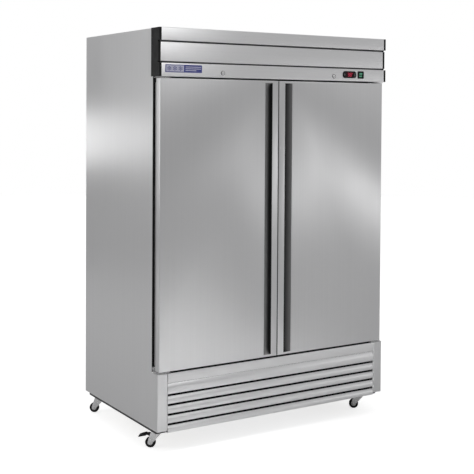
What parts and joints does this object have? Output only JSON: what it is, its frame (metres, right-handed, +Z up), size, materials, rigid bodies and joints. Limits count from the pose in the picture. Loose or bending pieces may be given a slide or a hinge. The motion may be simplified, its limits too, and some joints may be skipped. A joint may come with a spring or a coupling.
{
  "type": "reach-in refrigerator",
  "caption": "Upright reach-in refrigerator: solid swing doors with recessed grips, header controls, louvred condensing unit bay below, swivel casters.",
  "frame": {"origin": "on the floor, under the middle of the overall box. In width the box counts the left brake pedal, which stands out past the side, so the middle of the cabinet itself is at x = +0.0098. In depth the box runs from the front of the controller to the outside of the back panel", "axes": "+Z up, -Y out of the front of the cabinet, +X to the right as seen from the front"},
  "size_m": [1.3986, 0.8455, 2.026],
  "materials": {
    "stainless": "brushed stainless sheet",
    "galvanised": "galvanised sheet",
    "liner_aluminium": "satin aluminium sheet",
    "foam": null,
    "door_liner": null,
    "shelf_epoxy": "white epoxy coated steel wire",
    "black_plastic": "satin black",
    "gasket_rubber": "soft dark grey",
    "green_lens": "translucent green",
    "zinc": "bright zinc plate",
    "dark_frame": "black coated steel",
    "breaker_pvc": "dark thermal breaker, satin",
    "compressor_black": null,
    "coil_aluminium": "fin stock",
    "tyre": "black rubber tread"
  },
  "bodies": {
    "cabinet": {"front_frame": "breaker_pvc", "center_mullion": "breaker_pvc", "side_panel_left": "stainless", "side_panel_right": "stainless", "corner_post_left": "stainless", "corner_post_right": "stainless", "front_grille": "stainless", "header_panel": "stainless", "top_panel": "galvanised", "back_panel": "galvanised", "unit_tray": "galvanised", "fan_shroud": "galvanised", "inner_liner": "liner_aluminium", "evaporator_cover": "liner_aluminium", "insulation_foam": "foam", "header_cap_left": "black_plastic", "header_cap_right": "black_plastic", "controller_body": "black_plastic", "switch_body": "black_plastic", "power_cord": "black_plastic", "hinge_top_left": "zinc", "hinge_top_right": "zinc", "hinge_bottom_left": "zinc", "hinge_bottom_right": "zinc", "base_frame": "dark_frame", "compressor": "compressor_black", "condenser_coil": "coil_aluminium", "evaporator_coil": "coil_aluminium"},
    "door_left": {"door_skin_left": "stainless", "door_core_left": "door_liner", "door_gasket_left": "gasket_rubber", "door_handle_left": "stainless"},
    "door_right": {"door_skin_right": "stainless", "door_core_right": "door_liner", "door_gasket_right": "gasket_rubber", "door_handle_right": "stainless"},
    "lock_left": {"lock_left": "zinc"},
    "lock_right": {"lock_right": "zinc"},
    "switch_rocker": {"switch_rocker": "green_lens"},
    "controller_key_set": {"controller_key_set": "gasket_rubber"},
    "controller_key_adjust": {"controller_key_adjust": "gasket_rubber"},
    "caster_front_left": {"caster_fork_front_left": "zinc"},
    "wheel_front_left": {"caster_wheel_front_left": "tyre"},
    "brake_front_left": {"caster_brake_front_left": "black_plastic"},
    "caster_rear_left": {"caster_fork_rear_left": "zinc"},
    "wheel_rear_left": {"caster_wheel_rear_left": "tyre"},
    "caster_front_right": {"caster_fork_front_right": "zinc"},
    "wheel_front_right": {"caster_wheel_front_right": "tyre"},
    "brake_front_right": {"caster_brake_front_right": "black_plastic"},
    "caster_rear_right": {"caster_fork_rear_right": "zinc"},
    "wheel_rear_right": {"caster_wheel_rear_right": "tyre"},
    "condenser_fan": {"condenser_fan": "black_plastic"},
    "evaporator_fan_left": {"evaporator_fan_left": "black_plastic"},
    "evaporator_fan_right": {"evaporator_fan_right": "black_plastic"},
    "shelf_lower_left": {"shelf_lower_left": "shelf_epoxy"},
    "shelf_lower_right": {"shelf_lower_right": "shelf_epoxy"},
    "shelf_middle_left": {"shelf_middle_left": "shelf_epoxy"},
    "shelf_middle_right": {"shelf_middle_right": "shelf_epoxy"},
    "shelf_upper_left": {"shelf_upper_left": "shelf_epoxy"},
    "shelf_upper_right": {"shelf_upper_right": "shelf_epoxy"}
  },
  "joints": [
    {"name": "door_swing_left", "type": "hinge", "parent": "cabinet", "child": "door_left", "pos_m": [-0.64919, -0.38625, 1.0905], "axis": [0, 0, -1], "range_deg": [0, 115]},
    {"name": "door_swing_right", "type": "hinge", "parent": "cabinet", "child": "door_right", "pos_m": [0.66881, -0.38625, 1.0905], "axis": [0, 0, 1], "range_deg": [0, 115]},
    {"name": "lock_turn_left", "type": "hinge", "parent": "cabinet", "child": "lock_left", "pos_m": [-0.33019, -0.41925, 1.8175], "axis": [0, -1, 0], "range_deg": [0, 90]},
    {"name": "lock_turn_right", "type": "hinge", "parent": "cabinet", "child": "lock_right", "pos_m": [0.34981, -0.41925, 1.8175], "axis": [0, 1, 0], "range_deg": [0, 90]},
    {"name": "switch_rock", "type": "hinge", "parent": "cabinet", "child": "switch_rocker", "pos_m": [0.52781, -0.41425, 1.8295], "axis": [-1, 0, 0], "range_deg": [0, 18]},
    {"name": "key_press_set", "type": "slide", "parent": "cabinet", "child": "controller_key_set", "axis": [0, 1, 0], "range_m": [0, 0.0008], "stiffness_N_per_m": 800},
    {"name": "key_press_adjust", "type": "slide", "parent": "cabinet", "child": "controller_key_adjust", "axis": [0, 1, 0], "range_m": [0, 0.0008], "stiffness_N_per_m": 800},
    {"name": "caster_swivel_front_left", "type": "hinge", "parent": "cabinet", "child": "caster_front_left", "pos_m": [-0.61969, -0.297, 0.0835], "axis": [0, 0, 1], "continuous": true},
    {"name": "wheel_roll_front_left", "type": "hinge", "parent": "caster_front_left", "child": "wheel_front_left", "pos_m": [-0.64343, -0.27707, 0.0254], "axis": [0.6428, 0.766, 0], "continuous": true},
    {"name": "brake_press_front_left", "type": "hinge", "parent": "caster_front_left", "child": "brake_front_left", "pos_m": [-0.61816, -0.29829, 0.067], "axis": [-0.6428, -0.766, 0], "range_deg": [0, 8]},
    {"name": "caster_swivel_rear_left", "type": "hinge", "parent": "cabinet", "child": "caster_rear_left", "pos_m": [-0.61969, 0.362, 0.0835], "axis": [0, 0, 1], "continuous": true},
    {"name": "wheel_roll_rear_left", "type": "hinge", "parent": "caster_rear_left", "child": "wheel_rear_left", "pos_m": [-0.64343, 0.38193, 0.0254], "axis": [0.6428, 0.766, 0], "continuous": true},
    {"name": "caster_swivel_front_right", "type": "hinge", "parent": "cabinet", "child": "caster_front_right", "pos_m": [0.63931, -0.297, 0.0835], "axis": [0, 0, 1], "continuous": true},
    {"name": "wheel_roll_front_right", "type": "hinge", "parent": "caster_front_right", "child": "wheel_front_right", "pos_m": [0.61557, -0.27707, 0.0254], "axis": [0.6428, 0.766, 0], "continuous": true},
    {"name": "brake_press_front_right", "type": "hinge", "parent": "caster_front_right", "child": "brake_front_right", "pos_m": [0.64084, -0.29829, 0.067], "axis": [-0.6428, -0.766, 0], "range_deg": [0, 8]},
    {"name": "caster_swivel_rear_right", "type": "hinge", "parent": "cabinet", "child": "caster_rear_right", "pos_m": [0.63931, 0.362, 0.0835], "axis": [0, 0, 1], "continuous": true},
    {"name": "wheel_roll_rear_right", "type": "hinge", "parent": "caster_rear_right", "child": "wheel_rear_right", "pos_m": [0.61557, 0.38193, 0.0254], "axis": [0.6428, 0.766, 0], "continuous": true},
    {"name": "condenser_fan_spin", "type": "hinge", "parent": "cabinet", "child": "condenser_fan", "pos_m": [-0.03019, -0.222, 0.231], "axis": [0, 1, 0], "continuous": true},
    {"name": "evaporator_fan_spin_left", "type": "hinge", "parent": "cabinet", "child": "evaporator_fan_left", "pos_m": [-0.19019, -0.055, 1.796], "axis": [0, 0, 1], "continuous": true},
    {"name": "evaporator_fan_spin_right", "type": "hinge", "parent": "cabinet", "child": "evaporator_fan_right", "pos_m": [0.20981, -0.055, 1.796], "axis": [0, 0, 1], "continuous": true},
    {"name": "shelf_lower_left_lift", "type": "slide", "parent": "cabinet", "child": "shelf_lower_left", "axis": [0, 0, 1], "range_m": [0, 0.025]},
    {"name": "shelf_lower_right_lift", "type": "slide", "parent": "cabinet", "child": "shelf_lower_right", "axis": [0, 0, 1], "range_m": [0, 0.025]},
    {"name": "shelf_middle_left_lift", "type": "slide", "parent": "cabinet", "child": "shelf_middle_left", "axis": [0, 0, 1], "range_m": [0, 0.025]},
    {"name": "shelf_middle_right_lift", "type": "slide", "parent": "cabinet", "child": "shelf_middle_right", "axis": [0, 0, 1], "range_m": [0, 0.025]},
    {"name": "shelf_upper_left_lift", "type": "slide", "parent": "cabinet", "child": "shelf_upper_left", "axis": [0, 0, 1], "range_m": [0, 0.025]},
    {"name": "shelf_upper_right_lift", "type": "slide", "parent": "cabinet", "child": "shelf_upper_right", "axis": [0, 0, 1], "range_m": [0, 0.025]}
  ]
}
